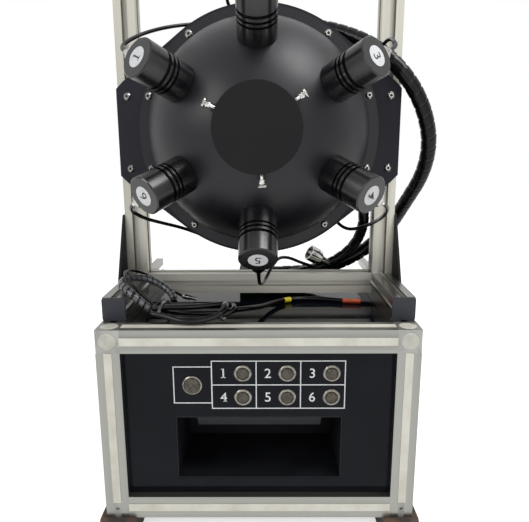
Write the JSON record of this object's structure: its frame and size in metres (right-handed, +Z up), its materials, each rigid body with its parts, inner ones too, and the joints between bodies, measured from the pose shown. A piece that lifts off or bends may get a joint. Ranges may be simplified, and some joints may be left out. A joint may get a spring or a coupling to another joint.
{
  "type": "integrating sphere",
  "caption": "Integrating sphere on a slotted aluminium frame, with numbered lamp housings round a capped front port and a switch cabinet below.",
  "frame": {"origin": "on the floor, under the middle of the cabinet", "axes": "+X to the right seen from the switches, -Y out of the front, +Z up"},
  "size_m": [0.4652, 0.354, 0.743],
  "materials": {
    "clear_anodised": "clear anodised extrusion",
    "cast_alloy": "die-cast zinc, grey",
    "pale_plastic": "off-white moulded plastic",
    "black_acrylic": "black polished acrylic sheet",
    "black_sheet": "black powder coat",
    "black_rubber": "moulded rubber",
    "black_plastic": "black moulded plastic",
    "nickel": "nickel plated brass",
    "bright_steel": "stainless steel",
    "supply_case": "zinc plated sheet case",
    "board": "circuit board",
    "black_anodised": "black anodised, satin",
    "white_coating": "matt white diffusing coating",
    "ceramic": "glazed ceramic",
    "clear_glass": "clear lamp glass",
    "black_jacket": "black cable jacket",
    "red_plastic": "red-orange moulded plastic"
  },
  "bodies": {
    "frame": {"baffle": "white_coating", "base_panel": "black_sheet", "bearers": "clear_anodised", "button_screws": "bright_steel", "cabinet_cross_rails": "clear_anodised", "cabinet_posts": "clear_anodised", "cabinet_side_rails": "clear_anodised", "cable_entry": "black_sheet", "control_board": "board", "corner_caps": "pale_plastic", "corner_cubes": "cast_alloy", "cross_rail": "clear_anodised", "deck": "black_acrylic", "deck_connector": "red_plastic", "deck_hank": "black_jacket", "deck_lead": "black_jacket", "end_caps": "black_plastic", "feet": "black_rubber", "front_hemisphere": "black_anodised", "front_panel": "black_acrylic", "front_pocket": "black_sheet", "gussets": "black_sheet", "lamp_bulbs": "clear_glass", "lamp_cables": "black_jacket", "lamp_collars": "black_anodised", "lamp_connectors": "nickel", "lamp_housings": "black_anodised", "lamp_plugs": "nickel", "lamp_sockets": "ceramic", "lamp_switches": "nickel", "lead_plug": "nickel", "lower_bundle": "black_jacket", "main_bundle": "black_jacket", "mains_inlet": "black_plastic", "mounting_plate": "black_anodised", "plug_lead": "black_jacket", "pocket_hood": "black_sheet", "port_collar": "black_anodised", "power_supplies": "supply_case", "power_switch": "nickel", "rear_hemisphere": "black_anodised", "rear_panel": "black_sheet", "side_panels": "black_sheet", "slot_covers": "pale_plastic", "slot_joints": "cast_alloy", "spare_connector": "nickel", "switch_nuts": "nickel", "uprights": "clear_anodised", "wrapped_loop": "black_jacket"},
    "button_1": {"lamp_button_1": "nickel"},
    "button_2": {"lamp_button_2": "nickel"},
    "button_3": {"lamp_button_3": "nickel"},
    "button_4": {"lamp_button_4": "nickel"},
    "button_5": {"lamp_button_5": "nickel"},
    "button_6": {"lamp_button_6": "nickel"},
    "power_key": {"power_button": "nickel"},
    "cap": {"port_cap": "black_anodised"},
    "thumb_1": {"thumb_screw_1": "nickel"},
    "thumb_2": {"thumb_screw_2": "nickel"},
    "thumb_3": {"thumb_screw_3": "nickel"}
  },
  "joints": [
    {"name": "press_button_1", "type": "slide", "parent": "frame", "child": "button_1", "axis": [0, 1, 0], "range_m": [0, 0.002], "stiffness_N_per_m": 1000},
    {"name": "press_button_2", "type": "slide", "parent": "frame", "child": "button_2", "axis": [0, 1, 0], "range_m": [0, 0.002], "stiffness_N_per_m": 1000},
    {"name": "press_button_3", "type": "slide", "parent": "frame", "child": "button_3", "axis": [0, 1, 0], "range_m": [0, 0.002], "stiffness_N_per_m": 1000},
    {"name": "press_button_4", "type": "slide", "parent": "frame", "child": "button_4", "axis": [0, 1, 0], "range_m": [0, 0.002], "stiffness_N_per_m": 1000},
    {"name": "press_button_5", "type": "slide", "parent": "frame", "child": "button_5", "axis": [0, 1, 0], "range_m": [0, 0.002], "stiffness_N_per_m": 1000},
    {"name": "press_button_6", "type": "slide", "parent": "frame", "child": "button_6", "axis": [0, 1, 0], "range_m": [0, 0.002], "stiffness_N_per_m": 1000},
    {"name": "press_power", "type": "slide", "parent": "frame", "child": "power_key", "axis": [0, 1, 0], "range_m": [0, 0.002], "stiffness_N_per_m": 1000},
    {"name": "lift_port_cap", "type": "slide", "parent": "frame", "child": "cap", "axis": [0, -1, 0], "range_m": [0, 0.05]},
    {"name": "turn_thumb_1", "type": "hinge", "parent": "frame", "child": "thumb_1", "pos_m": [0.0426, -0.156, 0.54783], "axis": [0.8192, 0, 0.5736], "range_deg": [0, 720]},
    {"name": "turn_thumb_2", "type": "hinge", "parent": "frame", "child": "thumb_2", "pos_m": [-0.04713, -0.156, 0.53998], "axis": [-0.9063, 0, 0.4226], "range_deg": [0, 720]},
    {"name": "turn_thumb_3", "type": "hinge", "parent": "frame", "child": "thumb_3", "pos_m": [0.00453, -0.156, 0.4662], "axis": [0.0872, 0, -0.9962], "range_deg": [0, 720]}
  ]
}
